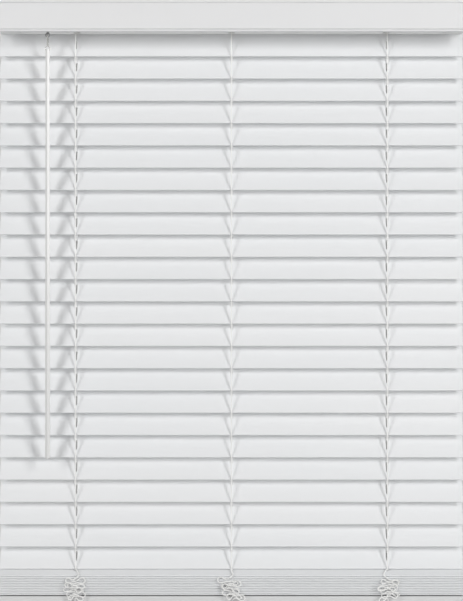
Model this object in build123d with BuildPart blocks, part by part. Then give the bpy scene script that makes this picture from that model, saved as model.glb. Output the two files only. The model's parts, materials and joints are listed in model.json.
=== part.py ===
from build123d import *
import os
from math import asin, atan2, cos, degrees, hypot, pi, radians, sin, sqrt, tan

# A venetian blind without pull cords, hanging closed, with its spare slats gathered on the
# bottom rail. X runs along the slats, -Y faces the room and +Z is up. The origin is the middle
# of the top of the two box brackets. All sizes are in millimetres and degrees.

# Slats
slat_length = 884.0
slat_width = 50.0
slat_thickness = 2.7
hanging_slats = 24
stacked_slats = 11
slat_pitch = 42.5
closed_tilt = 68.0
leaning_tilt = 24.0
leaning_drop = 23.7
stack_gap = 0.45
first_slat_gap = 2.9
rout_length = 19.0
rout_width = 5.0

# Ladders and lift cords
ladder_inset = 145.0
ladder_cord = 2.0
rung_cord = 1.0
rung_spread = 2.2
lift_cord = 1.4
cord_gap = 0.3
ladder_end_gap = 4.5
slack_start_gap = 1.3
last_rung_front = 26.0

# Slack ladder cord in front of and behind the stack
slack_loops = 12
loop_reach = 17.5
loop_reach_change = 1.6
loop_height = 9.0
loop_height_change = 0.6
loop_step = 3.0
loop_layer = 5.2
reach_wave = 2.3
height_wave = 1.7
slack_standoff = 2.8
tail_drop = 9.0
cord_edge_gap = 1.2
cord_edge_turn = 2.2
lead_shifts = (8.0, 2.5, -9.0)
loop_sides = (-1, -1, 1)
arc_share = 0.45
gap_sample = 0.8

# Headrail, a folded steel channel as long as the slats
head_depth = 57.0
head_height = 48.0
head_wall = 0.8
head_lip = 6.0
ladder_opening = (13.0, 37.0)
stem_opening = 8.0

# Box brackets and their gates
bracket_wall = 1.2
bracket_width = 38.0
bracket_gap = 0.3
screw_hole = 5.0
screw_inset = 16.0
screw_spacing = 28.0
gate_lip = 7.0
gate_gap = 0.2

# Valance and its clips
valance_overhang = 6.5
valance_height = 57.0
valance_thickness = 12.0
valance_drop = 0.5
valance_gap = 3.5
lip_height = 2.8
lip_step = 1.0
groove_height = 1.4
groove_depth = 2.4
valance_round = 0.6
pick_margin = 0.01
clip_inset = 192.0
clip_width = 22.0
clip_thickness = 1.8
clip_length = 38.0
clip_hook = 1.2
clip_reach = 4.5
tongue_drop = 20.0
tongue_height = 3.0
tongue_depth = 2.6
tongue_gap = 0.2

# Tilt rod, drums and cradles
rod_side = 6.0
rod_drop = 18.0
rod_overhang = 14.0
drum_width = 16.0
drum_flange = 1.4
drum_flange_rise = 2.4
drum_gap = 0.15
journal_radius = 5.5
journal_length = 3.2
running_gap = 0.05
cradle_base = 1.5
cradle_length = 27.0
cradle_side_gap = 0.2
cradle_wall = 2.0
cradle_leg_width = 34.0
cradle_leg_height = 20.0
bearing_wall = 3.5
window_width = 22.0
window_height = 14.0
end_play = 0.4
ladder_slot_width = 11.0
ladder_slot_length = 9.5
eyelet_ring = 4.0
eyelet_wire = 2.6
eyelet_lift = 0.2
eyelet_hole = 5.0

# Tilter
wand_inset = 94.4
wand_y = -30.8
eye_drop = 62.5
gear_module = 1.0
gear_teeth = 16
gear_face = 4.0
tooth_share = 0.38
gear_addendum = 0.8
gear_dedendum = 1.1
tooth_sink = 0.4
flank_angle = 20.0
gear_collar_radius = 6.4
gear_journal_radius = 5.0
worm_pitch_radius = 4.5
worm_turns = 4
worm_end = 1.6
worm_top_radius = 2.0
worm_top_length = 3.0
stem_radius = 2.4
eye_radius = 4.6
eye_hole = 2.6
eye_thickness = 2.0
eye_neck = 7.0
case_half_width = 5.7
case_wall = 1.8
case_floor = 2.0
case_back = 12.0
case_front_gap = 0.4
case_top_drop = 4.0
bridge_width = 8.0
bridge_thickness = 2.0

# Wand and its wire hook
hook_wire = 1.4
hook_half_top = 3.6
hook_half_waist = 1.2
hook_half_foot = 4.9
hook_shoulder = 4.0
hook_waist_top = 9.0
hook_waist_end = 21.0
hook_foot_start = 24.5
hook_length = 29.5
hook_radii = (2.5, 5.0, 5.0, 5.0, 4.0, 1.5)
wand_top_drop = 26.2
wand_length = 774.0
wand_top_across = 7.6
wand_end_across = 9.2
wand_hole_gap = 0.6
wand_round = 1.2

# Spring motor
motor_inset = 147.0
motor_length = 98.0
motor_depth = 46.0
motor_height = 22.0
motor_plate = 1.6
motor_axle_spread = 48.0
axle_radius = 2.5
post_radius = 2.5
post_inset = 5.0
spool_core = 12.0
spool_flange = 18.0
flange_thickness = 1.2
cord_groove = 4.0
spring_hub = 8.0
spring_drum_flange = 16.0
spring_drum_shank = 6.0
spring_output_hub = 11.0
spring_strip = 0.3
spring_layer = 0.3
spring_half_turns = 13
spring_gap = 0.4
spring_wrap = 200.0

# Bottom rail, as long and as deep as the slats, and its plugs
rail_height = 18.0
rail_round = 6.0
rail_gap = 2.6
plug_radius = 8.0
plug_gap = 0.1
plug_height = 8.0
plug_wall = 2.0
plug_well = 5.0
rail_cord_hole = 2.0
cord_groove_gap = 0.3

# Places that follow from the sizes above
head_length = slat_length
rail_length = slat_length
rail_depth = slat_width
valance_length = head_length + 2 * valance_overhang
clip_offset = head_length / 2 - clip_inset
ladder_offset = slat_length / 2 - ladder_inset
wand_x = wand_inset - head_length / 2
motor_x = ladder_offset - motor_inset
head_top = -(bracket_wall + bracket_gap)
head_bottom = head_top - head_height
head_floor = head_bottom + head_wall
head_inner_depth = head_depth - 2 * head_wall
half_blade = slat_width / 2 - slat_thickness / 2
closed = radians(closed_tilt)
leaning = radians(leaning_tilt)
first_slat = head_bottom - first_slat_gap - slat_thickness / 2 - half_blade * sin(closed)
last_slat = first_slat - (hanging_slats - 1) * slat_pitch
leaning_slat = last_slat - leaning_drop
stack_top = leaning_slat - half_blade * sin(leaning) - slat_thickness / 2 - stack_gap
stack_pitch = slat_thickness + stack_gap
stack_bottom = stack_top - stacked_slats * slat_thickness - (stacked_slats - 1) * stack_gap
rail_top = stack_bottom - rail_gap
rail_bottom = rail_top - rail_height
ladder_places = (-ladder_offset, 0.0, ladder_offset)
lift_places = (-ladder_offset, ladder_offset)

# The rung ends stand off the slat so far that a plumb ladder cord clears the closed slat's edge.
edge_clearance = slat_thickness / 2 + ladder_cord / 2 + cord_gap
rung_reach = half_blade + edge_clearance / cos(closed)
ladder_y = rung_reach * cos(closed)
ladder_rise = rung_reach * sin(closed)

# A rung lies under its slat and runs straight from the back ladder cord to the front one.
rung_drop = slat_thickness / 2 + cord_gap + rung_cord / 2
rung_front = rung_reach + rung_drop * tan(closed)
rung_back = rung_reach - rung_drop * tan(closed)

rod_z = -rod_drop
drum_radius = ladder_y - ladder_cord / 2 - drum_gap
eyelet_z = head_floor + eyelet_wire + eyelet_lift
cord_turn_z = eyelet_z + eyelet_ring

# The worm's axis leans in the YZ plane: it passes the gear at the centre distance and ends in the eye.
gear_radius = gear_module * gear_teeth / 2
thread_pitch = pi * gear_module
centre_distance = gear_radius + worm_pitch_radius
eye_y = wand_y
eye_z = -eye_drop
eye_away = hypot(eye_y, eye_z - rod_z)
stem_lean = atan2(-eye_y, rod_z - eye_z) - asin(centre_distance / eye_away)
stem_length = sqrt(eye_away**2 - centre_distance**2)
worm_foot = (wand_x, -centre_distance * cos(stem_lean), rod_z + centre_distance * sin(stem_lean))
worm_plane = Plane(origin=worm_foot, x_dir=(1, 0, 0), z_dir=(0, sin(stem_lean), cos(stem_lean)))

spool_x = motor_x + motor_axle_spread / 2
spring_x = motor_x - motor_axle_spread / 2
motor_floor = head_floor + motor_plate
motor_inside = motor_height - 2 * motor_plate
drum_bottom = motor_floor + end_play
drum_height = motor_inside - 2 * end_play
left_cord_z = drum_bottom + flange_thickness + cord_groove / 2
right_cord_z = left_cord_z + flange_thickness + cord_groove
spring_bottom = drum_bottom + 3 * flange_thickness + 2 * cord_groove
spring_top = drum_bottom + drum_height - flange_thickness


os.makedirs("parts", exist_ok=True)


def save(piece, name):
    """Label a finished piece and write its file."""
    piece.label = name
    export_step(piece, f"parts/{name}.step")


def turned(points, plane, axis):
    """A solid of revolution whose half outline is a closed polyline on the plane."""
    with BuildPart() as lathe:
        with BuildSketch(plane):
            with BuildLine():
                Polyline(*points, close=True)
            make_face()
        revolve(axis=axis)
    return lathe.part


def stepped_outline(steps, start):
    """Points of a half outline along an axis: each step is a length and a radius."""
    points = [(start, 0)]
    at = start
    for length, radius in steps:
        points += [(at, radius), (at + length, radius)]
        at += length
    return points + [(at, 0)]


def run_radii(points):
    """Corner radii of a cord route: as large as the two runs at each corner allow."""
    radii = []
    for before, corner, after in zip(points, points[1:], points[2:]):
        into = Vector(corner) - Vector(before)
        out_of = Vector(after) - Vector(corner)
        turn = radians(into.get_angle(out_of))
        radii.append(arc_share * min(into.length, out_of.length) / tan(turn / 2))
    return radii


def tube(points, radii, diameter):
    """A round cord along straight runs joined by tangent arcs."""
    with BuildPart() as cord:
        with BuildLine() as route:
            FilletPolyline(*points, radius=radii)
        with BuildSketch(Plane(origin=points[0], z_dir=Vector(points[1]) - Vector(points[0]))):
            Circle(diameter / 2)
        sweep(path=route.wires()[0])
    return cord.part, route.wires()[0]


def self_gap(wire, diameter):
    """Least clear gap between parts of a cord that lie apart along it, measured on points."""
    count = int(wire.length / gap_sample)
    points = [wire.position_at(i / count) for i in range(count + 1)]
    apart = int(3 * diameter / gap_sample)
    least = min(
        (points[i] - points[j]).length
        for i in range(len(points))
        for j in range(i + apart, len(points))
    )
    return least - diameter


# Slats
def make_slat(name, height, tilt):
    """A slat with full-round long edges and two rout slots; tilt lowers its room-side edge."""
    lean = radians(tilt)
    across = (0, cos(lean), sin(lean))
    upper = (0, -sin(lean), cos(lean))
    with BuildPart() as slat:
        with BuildSketch(Plane(origin=(-slat_length / 2, 0, height), x_dir=across, z_dir=(1, 0, 0))):
            SlotOverall(slat_width, slat_thickness)
        extrude(amount=slat_length)
        with BuildSketch(Plane(origin=(0, 0, height), x_dir=(1, 0, 0), z_dir=upper)):
            with Locations(*[(x, 0) for x in lift_places]):
                SlotOverall(rout_length, rout_width, rotation=90)
        extrude(amount=slat_thickness, both=True, mode=Mode.SUBTRACT)
    save(slat.part, name)


hanging_heights = [first_slat - i * slat_pitch for i in range(hanging_slats)]
for number, height in enumerate(hanging_heights, start=1):
    make_slat(f"slat_{number:02d}", height, closed_tilt)
make_slat(f"slat_{hanging_slats + 1:02d}", leaning_slat, leaning_tilt)
for i in range(stacked_slats):
    make_slat(f"slat_{hanging_slats + 2 + i:02d}", stack_top - slat_thickness / 2 - i * stack_pitch, 0)

# Headrail
with BuildPart() as headrail:
    with BuildSketch(Plane.YZ.offset(-head_length / 2)):
        with Locations((0, head_top)):
            Rectangle(head_depth, head_height, align=(Align.CENTER, Align.MAX))
        with Locations((0, head_top - head_wall)):
            inner_height = head_height - 2 * head_wall
            Rectangle(head_inner_depth, inner_height, align=(Align.CENTER, Align.MAX), mode=Mode.SUBTRACT)
        with Locations((0, head_top)):
            Rectangle(head_depth - 2 * head_lip, 2 * head_wall, mode=Mode.SUBTRACT)
    extrude(amount=head_length)
    with BuildSketch(Plane.XY.offset(head_bottom)):
        with Locations(*[(x, 0) for x in ladder_places]):
            Rectangle(*ladder_opening)
    extrude(amount=head_wall, both=True, mode=Mode.SUBTRACT)
    with BuildSketch(worm_plane):
        Circle(stem_opening / 2)
    extrude(amount=-stem_length, mode=Mode.SUBTRACT)
save(headrail.part, "headrail")

# Box brackets, open to the room and towards the middle of the blind
bracket_end = head_length / 2 + bracket_gap + bracket_wall
bracket_back = head_depth / 2 + bracket_gap + bracket_wall
bracket_front = -(head_depth / 2 + bracket_gap)
bracket_bottom = head_bottom - bracket_gap - bracket_wall
screw_x = bracket_end - screw_inset
screw_z = (head_top + head_bottom) / 2
with BuildPart() as right_bracket:
    with BuildSketch(Plane.YZ.offset(bracket_end - bracket_width)):
        with Locations((bracket_back, 0)):
            Rectangle(bracket_back - bracket_front, -bracket_bottom, align=(Align.MAX, Align.MAX))
    extrude(amount=bracket_width)
    with BuildSketch(Plane.YZ.offset(bracket_end - bracket_width)):
        with Locations((bracket_back - bracket_wall, -bracket_wall)):
            hollow_depth = bracket_back - bracket_wall - bracket_front
            hollow_height = -bracket_bottom - 2 * bracket_wall
            Rectangle(hollow_depth, hollow_height, align=(Align.MAX, Align.MAX))
    extrude(amount=bracket_width - bracket_wall, mode=Mode.SUBTRACT)
    with BuildSketch(Plane.XY.offset(-bracket_wall)):
        with Locations((screw_x, -screw_spacing / 2), (screw_x, screw_spacing / 2)):
            Circle(screw_hole / 2)
    extrude(amount=bracket_wall, mode=Mode.SUBTRACT)
    with BuildSketch(Plane.YZ.offset(bracket_end - bracket_wall)):
        with Locations((-screw_spacing / 2, screw_z), (screw_spacing / 2, screw_z)):
            Circle(screw_hole / 2)
    extrude(amount=bracket_wall, mode=Mode.SUBTRACT)
with BuildPart() as box_brackets:
    add(right_bracket.part)
    mirror(about=Plane.YZ)
save(box_brackets.part, "box_brackets")

# Gates that close the brackets, each with a lip that snaps under its bracket
with BuildPart() as right_gate:
    with BuildSketch(Plane.YZ.offset(bracket_end - bracket_width)):
        with Locations((bracket_front, -gate_gap)):
            Rectangle(bracket_wall, -bracket_bottom, align=(Align.MAX, Align.MAX))
        with Locations((bracket_front - bracket_wall, bracket_bottom)):
            Rectangle(bracket_wall + gate_lip, bracket_wall / 2, align=(Align.MIN, Align.MAX))
    extrude(amount=bracket_width)
with BuildPart() as bracket_gates:
    add(right_gate.part)
    mirror(about=Plane.YZ)
save(bracket_gates.part, "bracket_gates")

# Valance
valance_top = -valance_drop
valance_bottom = valance_top - valance_height
valance_back = -(head_depth / 2 + valance_gap)
valance_front = valance_back - valance_thickness
lip_front = valance_front + lip_step
groove_floor = valance_front + groove_depth
panel_top = valance_top - lip_height - groove_height
panel_bottom = valance_bottom + lip_height + groove_height
tongue_z = valance_top - tongue_drop
with BuildPart() as valance:
    with BuildSketch(Plane.YZ.offset(-valance_length / 2)) as valance_section:
        with BuildLine():
            Polyline(
                (valance_back, valance_top),
                (lip_front, valance_top),
                (lip_front, valance_top - lip_height),
                (groove_floor, valance_top - lip_height),
                (groove_floor, panel_top),
                (valance_front, panel_top),
                (valance_front, panel_bottom),
                (groove_floor, panel_bottom),
                (groove_floor, valance_bottom + lip_height),
                (lip_front, valance_bottom + lip_height),
                (lip_front, valance_bottom),
                (valance_back, valance_bottom),
                close=True,
            )
        make_face()
        front_most = valance_front - pick_margin
        proud = valance_section.vertices().filter_by_position(Axis.X, front_most, lip_front + pick_margin)
        fillet(proud, valance_round)
        with Locations((valance_back, tongue_z)):
            slot_size = (tongue_depth + tongue_gap, tongue_height + 2 * tongue_gap)
            Rectangle(*slot_size, align=(Align.MAX, Align.CENTER), mode=Mode.SUBTRACT)
    extrude(amount=valance_length)
save(valance.part, "valance")

# Valance clips: a hook over the headrail's lip, a plate down its front and a tongue in the valance
head_front = -head_depth / 2
clip_face = head_front - clip_thickness
with BuildPart() as one_clip:
    with BuildSketch(Plane.YZ.offset(-clip_width / 2)):
        with Locations((head_front, head_top)):
            Rectangle(clip_thickness, clip_length, align=(Align.MAX, Align.MAX))
        with Locations((clip_face, head_top)):
            Rectangle(clip_thickness + clip_reach, clip_hook, align=(Align.MIN, Align.MIN))
        with Locations((clip_face, tongue_z)):
            tongue_size = (clip_face - valance_back + tongue_depth, tongue_height)
            Rectangle(*tongue_size, align=(Align.MAX, Align.CENTER))
    extrude(amount=clip_width)
with BuildPart() as valance_clips:
    with Locations((-clip_offset, 0), (0, 0), (clip_offset, 0)):
        add(one_clip.part)
save(valance_clips.part, "valance_clips")

# Tilt rod
rod_left = wand_x - rod_overhang
rod_right = ladder_offset + rod_overhang
with BuildPart() as tilt_rod:
    with BuildSketch(Plane.YZ.offset(rod_left)):
        with Locations((0, rod_z)):
            Rectangle(rod_side, rod_side)
    extrude(amount=rod_right - rod_left)
save(tilt_rod.part, "tilt_rod")

# Tilt drums, one over each ladder
barrel_width = drum_width - 2 * drum_flange
flange_radius = drum_radius + drum_flange_rise
drum_steps = [
    (journal_length, journal_radius),
    (drum_flange, flange_radius),
    (barrel_width, drum_radius),
    (drum_flange, flange_radius),
    (journal_length, journal_radius),
]
rod_line = Axis((0, 0, rod_z), (1, 0, 0))
drum_outline = stepped_outline(drum_steps, -drum_width / 2 - journal_length)
one_drum = turned([(x, rod_z + r) for x, r in drum_outline], Plane.XZ, rod_line)
with BuildPart() as tilt_drums:
    with Locations(*[(x, 0) for x in ladder_places]):
        add(one_drum)
    with BuildSketch(Plane.YZ.offset(rod_left)):
        with Locations((0, rod_z)):
            Rectangle(rod_side + 2 * running_gap, rod_side + 2 * running_gap)
    extrude(amount=rod_right - rod_left, mode=Mode.SUBTRACT)
save(tilt_drums.part, "tilt_drums")

# Cradles: a base with an eyelet for the lift cord and two towers that carry the drum's journals
tower_x = drum_width / 2 + end_play
with BuildPart() as one_cradle:
    with BuildSketch(Plane.XY.offset(head_floor)):
        Rectangle(cradle_length, head_inner_depth - 2 * cradle_side_gap)
        with Locations((0, -ladder_y), (0, ladder_y)):
            Rectangle(ladder_slot_width, ladder_slot_length, mode=Mode.SUBTRACT)
        Circle(eyelet_hole, mode=Mode.SUBTRACT)
    extrude(amount=cradle_base)
    with Locations((0, 0, eyelet_z)):
        Torus(eyelet_ring, eyelet_wire)
    with BuildSketch(Plane.YZ.offset(tower_x), Plane.YZ.offset(-tower_x - cradle_wall)):
        with BuildSketch(mode=Mode.PRIVATE) as tower:
            with Locations((0, head_floor)):
                Rectangle(cradle_leg_width, cradle_leg_height, align=(Align.CENTER, Align.MIN))
            with Locations((0, rod_z)):
                Circle(journal_radius + running_gap + bearing_wall)
            make_hull()
            with Locations((0, head_floor + cradle_base)):
                Rectangle(window_width, window_height, align=(Align.CENTER, Align.MIN), mode=Mode.SUBTRACT)
            with Locations((0, rod_z)):
                Circle(journal_radius + running_gap, mode=Mode.SUBTRACT)
        add(tower.sketch)
    extrude(amount=cradle_wall)
with BuildPart() as drum_cradles:
    with Locations(*[(x, 0) for x in ladder_places]):
        add(one_cradle.part)
save(drum_cradles.part, "drum_cradles")

# Tilt gear; one tooth points at the worm
tooth_half = tooth_share * thread_pitch / 2
flank = tan(radians(flank_angle))
tip_radius = gear_radius + gear_addendum
root_radius = gear_radius - gear_dedendum
tooth_angle = 180 - degrees(stem_lean)
gear_end = case_half_width + case_wall + end_play
with BuildPart() as tilt_gear:
    with BuildSketch(Plane.YZ.offset(wand_x - gear_face / 2)):
        with Locations((0, rod_z)):
            Circle(root_radius)
            with PolarLocations(0, gear_teeth, start_angle=tooth_angle):
                Polygon(
                    (root_radius - tooth_sink, -tooth_half - gear_dedendum * flank),
                    (tip_radius, -tooth_half + gear_addendum * flank),
                    (tip_radius, tooth_half - gear_addendum * flank),
                    (root_radius - tooth_sink, tooth_half + gear_dedendum * flank),
                    align=None,
                )
    extrude(amount=gear_face)
    with BuildSketch(Plane.YZ.offset(wand_x - case_half_width + end_play)):
        with Locations((0, rod_z)):
            Circle(gear_collar_radius)
    extrude(amount=2 * (case_half_width - end_play))
    with BuildSketch(Plane.YZ.offset(wand_x - gear_end)):
        with Locations((0, rod_z)):
            Circle(gear_journal_radius)
    extrude(amount=2 * gear_end)
    with BuildSketch(Plane.YZ.offset(wand_x - gear_end)):
        with Locations((0, rod_z)):
            Rectangle(rod_side + 2 * running_gap, rod_side + 2 * running_gap)
    extrude(amount=2 * gear_end, mode=Mode.SUBTRACT)
save(tilt_gear.part, "tilt_gear")

# Worm with its stem and eye, made along its own axis; the thread starts so that a gap meets the tooth
worm_root = worm_pitch_radius - gear_dedendum
worm_tip = worm_pitch_radius + gear_addendum
thread_start = thread_pitch / 4 - worm_turns / 2 * thread_pitch
core_half = worm_turns / 2 * thread_pitch + worm_end
with BuildPart() as thread:
    with BuildLine() as helix:
        Helix(thread_pitch, worm_turns * thread_pitch, worm_pitch_radius, center=(0, 0, thread_start))
    with BuildSketch(Plane(origin=(worm_pitch_radius, 0, thread_start), x_dir=(1, 0, 0), z_dir=(0, -1, 0))):
        with BuildLine():
            inner = gear_dedendum + tooth_sink
            Polyline(
                (-inner, -tooth_half - inner * flank),
                (gear_addendum, -tooth_half + gear_addendum * flank),
                (gear_addendum, tooth_half - gear_addendum * flank),
                (-inner, tooth_half + inner * flank),
                close=True,
            )
        make_face()
    sweep(path=helix.line, is_frenet=True)
with BuildPart() as worm_upright:
    add(thread.part)
    with BuildSketch(Plane.XY.offset(-core_half)):
        Circle(worm_root)
    extrude(amount=2 * core_half)
    with BuildSketch(Plane.XY.offset(core_half)):
        Circle(worm_top_radius)
    extrude(amount=worm_top_length)
    with BuildSketch(Plane.XY.offset(-core_half)):
        Circle(stem_radius)
    extrude(amount=-(stem_length - core_half - eye_neck))
    with BuildSketch(Plane.XZ.offset(-eye_thickness / 2)):
        with Locations((0, -stem_length)):
            Circle(eye_radius)
            Rectangle(2 * stem_radius, eye_neck + stem_radius, align=(Align.CENTER, Align.MIN))
            Circle(eye_hole, mode=Mode.SUBTRACT)
    extrude(amount=eye_thickness)
with BuildPart() as tilter_worm:
    add(worm_plane.location * worm_upright.part)
save(tilter_worm.part, "tilter_worm")

# Tilter case, open at the top, with bearings for the gear and the worm
case_front = -head_inner_depth / 2 + case_front_gap
with BuildPart() as tilter_case:
    with BuildSketch(Plane.XY.offset(head_floor)):
        with Locations((wand_x, case_back)):
            case_size = (2 * (case_half_width + case_wall), case_back - case_front)
            Rectangle(*case_size, align=(Align.CENTER, Align.MAX))
    extrude(amount=-case_top_drop - head_floor)
    with BuildSketch(Plane.XY.offset(head_floor + case_floor)):
        with Locations((wand_x, case_back - case_wall)):
            cavity = (2 * case_half_width, case_back - case_front - 2 * case_wall)
            Rectangle(*cavity, align=(Align.CENTER, Align.MAX))
    extrude(amount=-case_top_drop - head_floor, mode=Mode.SUBTRACT)
    with BuildSketch(worm_plane.offset(core_half + end_play)):
        Rectangle(2 * case_half_width, bridge_width)
        Circle(worm_top_radius + running_gap, mode=Mode.SUBTRACT)
    extrude(amount=bridge_thickness)
    with BuildSketch(worm_plane.offset(-core_half)):
        Circle(stem_radius + running_gap)
    extrude(amount=-stem_length, mode=Mode.SUBTRACT)
    with BuildSketch(Plane.YZ.offset(wand_x - gear_end)):
        with Locations((0, rod_z)):
            Circle(gear_journal_radius + running_gap)
    extrude(amount=2 * gear_end, mode=Mode.SUBTRACT)
save(tilter_case.part, "tilter_case")

# Wire hook between the eye and the wand, a closed link with a quarter turn in its narrow waist
half_hook = [
    (0, 0, 0),
    (0, hook_half_top, 0),
    (0, hook_half_top, -hook_shoulder),
    (0, hook_half_waist, -hook_waist_top),
    (hook_half_waist, 0, -hook_waist_end),
    (hook_half_foot, 0, -hook_foot_start),
    (hook_half_foot, 0, -hook_length),
    (0, 0, -hook_length),
]
with BuildPart() as wand_hook:
    with Locations((wand_x, eye_y, eye_z)):
        add(tube(half_hook, hook_radii, hook_wire)[0])
        add(tube(half_hook, hook_radii, hook_wire)[0], rotation=(0, 0, 180))
save(wand_hook.part, "wand_hook")

# Tilt wand, six-sided and thicker at the lower end, with a cross hole for the hook
wand_top = eye_z - wand_top_drop
wand_end = wand_top - wand_length
with BuildPart() as tilt_wand:
    with BuildSketch(Plane.XY.offset(wand_top)):
        with Locations((wand_x, eye_y)):
            RegularPolygon(wand_top_across / 2, 6, major_radius=False, rotation=30)
    with BuildSketch(Plane.XY.offset(wand_end)):
        with Locations((wand_x, eye_y)):
            RegularPolygon(wand_end_across / 2, 6, major_radius=False, rotation=30)
    loft()
    fillet(tilt_wand.faces().sort_by(Axis.Z)[0].edges(), wand_round)
    with BuildSketch(Plane.YZ.offset(wand_x - wand_top_across)):
        with Locations((eye_y, eye_z - hook_length)):
            Circle(hook_wire / 2 + wand_hole_gap)
    extrude(amount=2 * wand_top_across, mode=Mode.SUBTRACT)
save(tilt_wand.part, "tilt_wand")

# Spring motor: two like plates face each other, with half of every axle and post on each
with BuildPart() as lower_plate:
    with BuildSketch(Plane.XY.offset(head_floor)):
        with Locations((motor_x, 0)):
            RectangleRounded(motor_length, motor_depth, post_inset)
    extrude(amount=motor_plate)
    with BuildSketch(Plane.XY.offset(motor_floor)):
        with Locations((spring_x, 0), (spool_x, 0)):
            Circle(axle_radius)
        with Locations((motor_x, 0)):
            with GridLocations(motor_length - 2 * post_inset, motor_depth - 2 * post_inset, 2, 2):
                Circle(post_radius)
    extrude(amount=motor_inside / 2 - running_gap)
with BuildPart() as motor_plates:
    add(lower_plate.part)
    mirror(about=Plane.XY.offset(head_floor + motor_height / 2))
save(motor_plates.part, "motor_plates")


def bobbin(x, steps):
    """A drum on a motor axle; its steps are lengths and radii from the lower end."""
    outline = [(x + r, z) for z, r in stepped_outline(steps, drum_bottom)]
    with BuildPart() as drum:
        add(turned(outline, Plane.XZ, Axis((x, 0, 0), (0, 0, 1))))
        with BuildSketch(Plane.XY.offset(drum_bottom)):
            with Locations((x, 0)):
                Circle(axle_radius + running_gap)
        extrude(amount=drum_height, mode=Mode.SUBTRACT)
    return drum.part


# Cord spool: two cord grooves under the hub that pulls the spring over
spring_room = spring_top - spring_bottom
spool_steps = [
    (flange_thickness, spool_flange),
    (cord_groove, spool_core),
    (flange_thickness, spool_flange),
    (cord_groove, spool_core),
    (flange_thickness, spool_flange),
    (spring_room, spring_output_hub),
    (flange_thickness, spool_flange),
]
cord_spool = bobbin(spool_x, spool_steps)
save(cord_spool, "cord_spool")

# Spring drum: a shank that lets the cord pass, then the hub that stores the spring
spring_drum_steps = [
    (spring_bottom - drum_bottom - flange_thickness, spring_drum_shank),
    (flange_thickness, spring_drum_flange),
    (spring_room, spring_hub),
    (flange_thickness, spring_drum_flange),
]
spring_drum = bobbin(spring_x, spring_drum_steps)
save(spring_drum, "spring_drum")

# Flat spring: a spiral of half turns on its drum, a straight stretch and a turn on the spool
half_growth = (spring_strip + spring_layer) / 2
spiral_start = spring_hub + spring_gap + spring_strip / 2
spiral_end = spiral_start + spring_half_turns * half_growth
spiral_centre = spring_x + half_growth
output_radius = spring_output_hub + spring_gap + spring_strip / 2
crossing = degrees(asin((spiral_end + output_radius) / (spool_x - spiral_centre)))
spring_z = (spring_bottom + spring_top) / 2
with BuildPart() as motor_spring:
    with BuildLine(Plane.XY.offset(spring_z)) as spring_line:
        for k in range(spring_half_turns):
            turn_centre = (spring_x + half_growth * (k % 2), 0)
            CenterArc(turn_centre, spiral_start + k * half_growth, 180 * (k % 2), 180)
        leaving = CenterArc((spiral_centre, 0), spiral_end, 180, 90 + crossing)
        arriving = CenterArc((spool_x, 0), output_radius, 90 + crossing, -spring_wrap)
        Line(leaving @ 1, arriving @ 0)
    start = (spring_x + spiral_start, 0, spring_z)
    with BuildSketch(Plane(origin=start, x_dir=(1, 0, 0), z_dir=(0, 1, 0))):
        Rectangle(spring_strip, spring_room - 2 * spring_gap)
    sweep(path=spring_line.wires()[0])
save(motor_spring.part, "motor_spring")

# Lift cords: from the spool along the headrail, over an eyelet and down to a plug in the rail
well_floor = rail_bottom + plug_height - plug_well
tangent_y = spool_core + lift_cord / 2 + cord_gap
lift_runs = ((-ladder_offset, -tangent_y, left_cord_z), (ladder_offset, tangent_y, right_cord_z))
with BuildPart() as lift_cords:
    for x, start_y, start_z in lift_runs:
        route = [(spool_x, start_y, start_z), (x, 0, cord_turn_z), (x, 0, well_floor + lift_cord)]
        cord, line = tube(route, [eyelet_ring], lift_cord)
        add(cord)
        print(f"lift cord at {x:.0f}: {line.length:.0f} mm long")
save(lift_cords.part, "lift_cords")

# Upright ladder cords, from the first rung to the last
front_top = first_slat - ladder_rise
front_end = last_slat - ladder_rise + ladder_end_gap
back_top = first_slat + ladder_rise
back_end = last_slat + ladder_rise + ladder_end_gap
for name, y, low, high in (
    ("front_ladder_cords", -ladder_y, front_end, front_top),
    ("back_ladder_cords", ladder_y, back_end, back_top),
):
    with BuildPart() as ladder_cords:
        with BuildSketch(Plane.XY.offset(low)):
            with Locations(*[(x, y) for x in ladder_places]):
                Circle(ladder_cord / 2)
        extrude(amount=high - low)
    save(ladder_cords.part, name)


def make_rung(front):
    """One rung under a closed slat at the origin; front is its reach towards the room."""
    across = (0, cos(closed), sin(closed))
    start = (0, rung_drop * sin(closed) - front * cos(closed), -rung_drop * cos(closed) - front * sin(closed))
    with BuildPart() as rung:
        with BuildSketch(Plane(origin=start, z_dir=across)):
            Circle(rung_cord / 2)
        extrude(amount=front + rung_back)
    return rung.part


# Rungs under the hanging slats, the last ones ending over the leaning slat, and the ladder tops
rung_places = [x + spread for x in ladder_places for spread in (-rung_spread, rung_spread)]
with BuildPart() as ladder_rungs:
    with Locations(*[(x, 0, z) for x in rung_places for z in hanging_heights[:-1]]):
        add(make_rung(rung_front))
    with Locations(*[(x, 0, last_slat) for x in rung_places]):
        add(make_rung(last_rung_front))
    over = rod_z + ladder_y
    for face, end in ((-1, front_top), (1, back_top)):
        outside = face * ladder_y
        route = [(0, face * ladder_cord / 2, over), (0, outside, over), (0, outside, end + cord_gap)]
        with Locations(*[(x, 0) for x in ladder_places]):
            add(tube(route, [ladder_y - ladder_cord], ladder_cord)[0])
save(ladder_rungs.part, "ladder_rungs")


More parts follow.
